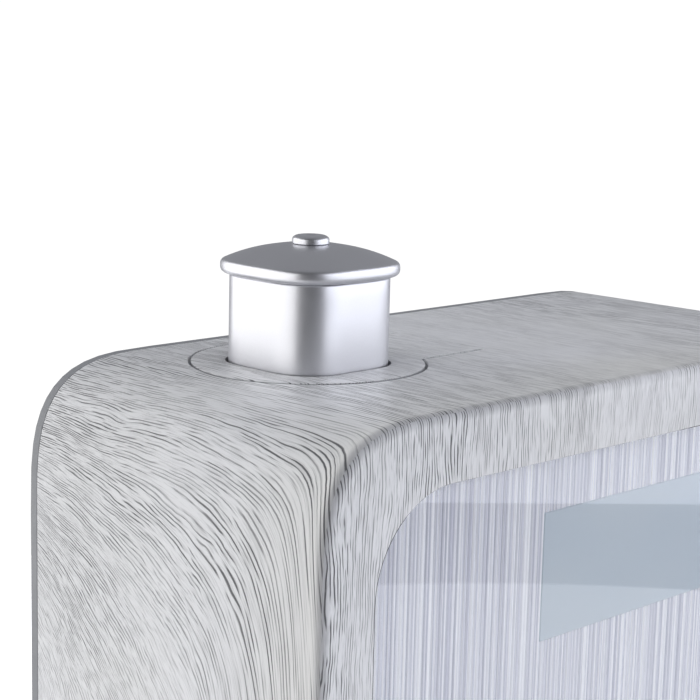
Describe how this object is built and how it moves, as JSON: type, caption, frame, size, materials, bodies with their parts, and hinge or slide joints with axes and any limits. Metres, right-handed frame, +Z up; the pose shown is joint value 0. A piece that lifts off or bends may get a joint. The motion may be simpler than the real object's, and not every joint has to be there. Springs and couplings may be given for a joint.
{
  "type": "cool mist humidifier",
  "caption": "Box-shaped ultrasonic cool mist humidifier with a wood-grain shell, a ribbed front window, a lift-off keyhole cover and a square metal mist nozzle with a knobbed lid.",
  "frame": {"origin": "under the middle of the body, on the plane that the rubber feet stand on", "axes": "+X to the right across the front as seen by a user, +Y from the front window to the rear cover, +Z up"},
  "size_m": [0.312, 0.14, 0.3167],
  "materials": {
    "wood_film": "printed light grey wood-grain film over moulded plastic, satin",
    "grey_plastic": "fine matt texture",
    "black_plastic": "matt moulded",
    "white_plastic": "satin moulded",
    "orange_plastic": "satin moulded",
    "clear_panel": "clear polished acrylic",
    "display_lens": "tinted blue-grey acrylic",
    "lcd_cell": "display cell, unlit",
    "tank_plastic": "translucent moulded plastic",
    "satin_metal": "satin anodised",
    "bare_aluminium": "extruded",
    "rubber": "soft matt",
    "steel": "zinc plated",
    "piezo_ceramic": "silvered electrode",
    "magnet": "sintered",
    "brass": "turned",
    "motor_windings": "varnished copper",
    "circuit_board": "solder mask",
    "filter_foam": "open foam",
    "cable_jacket": "soft plastic jacket"
  },
  "bodies": {
    "housing": {"outer_shell": "wood_film", "rear_cover": "grey_plastic", "rear_cover_screws": "steel", "rubber_feet": "rubber", "foot_screws": "steel", "chassis": "white_plastic", "support_pillars": "white_plastic", "front_window": "clear_panel", "ribbed_panel": "white_plastic", "display_lens": "display_lens", "lcd_module": "lcd_cell", "display_frame": "black_plastic", "display_board": "circuit_board", "display_screws": "steel", "display_cable": "cable_jacket", "tank_body": "tank_plastic", "tank_lid": "tank_plastic", "basin": "white_plastic", "basin_gasket": "rubber", "mist_hood": "white_plastic", "splash_baffle": "white_plastic", "transducer_disc": "piezo_ceramic", "transducer_seal": "rubber", "transducer_retainer": "brass", "transducer_screws": "steel", "driver_board": "circuit_board", "driver_heat_sink": "bare_aluminium", "float_pin": "steel", "float_cap": "white_plastic", "level_switch": "circuit_board", "fan_housing": "black_plastic", "fan_cover": "black_plastic", "fan_motor": "motor_windings", "fan_bearing": "brass", "air_duct": "white_plastic", "control_board": "circuit_board", "power_board": "circuit_board", "board_screws": "steel", "power_inlet": "black_plastic", "humidity_sensor": "circuit_board", "mains_leads": "cable_jacket", "signal_leads": "cable_jacket"},
    "keyhole_cover": {"top_cover": "wood_film", "top_cover_seal": "rubber"},
    "nozzle": {"mist_nozzle": "satin_metal", "nozzle_seal": "rubber"},
    "lid": {"nozzle_lid": "satin_metal", "lid_knob": "satin_metal", "lid_screw": "steel", "lid_gasket": "rubber"},
    "drain": {"drain_plug": "grey_plastic", "drain_seal": "rubber"},
    "filter": {"filter_door": "grey_plastic", "intake_filter": "filter_foam"},
    "fan_rotor": {"fan_impeller": "black_plastic", "fan_shaft": "steel"},
    "inlet_valve": {"inlet_float": "white_plastic", "valve_stopper": "rubber"},
    "level_sender": {"level_float": "orange_plastic", "float_magnet": "magnet"}
  },
  "joints": [
    {"name": "cover_lift", "type": "slide", "parent": "housing", "child": "keyhole_cover", "axis": [0, 0, 1], "range_m": [0, 0.08]},
    {"name": "nozzle_lift", "type": "slide", "parent": "keyhole_cover", "child": "nozzle", "axis": [0, 0, 1], "range_m": [0, 0.04]},
    {"name": "lid_lift", "type": "slide", "parent": "nozzle", "child": "lid", "axis": [0, 0, 1], "range_m": [0, 0.03]},
    {"name": "drain_pull", "type": "slide", "parent": "housing", "child": "drain", "axis": [0, 1, 0], "range_m": [0, 0.03]},
    {"name": "filter_pull", "type": "slide", "parent": "housing", "child": "filter", "axis": [0, 1, 0], "range_m": [0, 0.03]},
    {"name": "fan_spin", "type": "hinge", "parent": "housing", "child": "fan_rotor", "pos_m": [0.062, 0.04, 0.036], "axis": [0, 1, 0], "continuous": true},
    {"name": "float_swing", "type": "hinge", "parent": "housing", "child": "inlet_valve", "pos_m": [-0.04, -0.038, 0.05], "axis": [1, 0, 0], "range_deg": [0, 8]},
    {"name": "level_rise", "type": "slide", "parent": "housing", "child": "level_sender", "axis": [0, 0, 1], "range_m": [0, 0.013]}
  ]
}
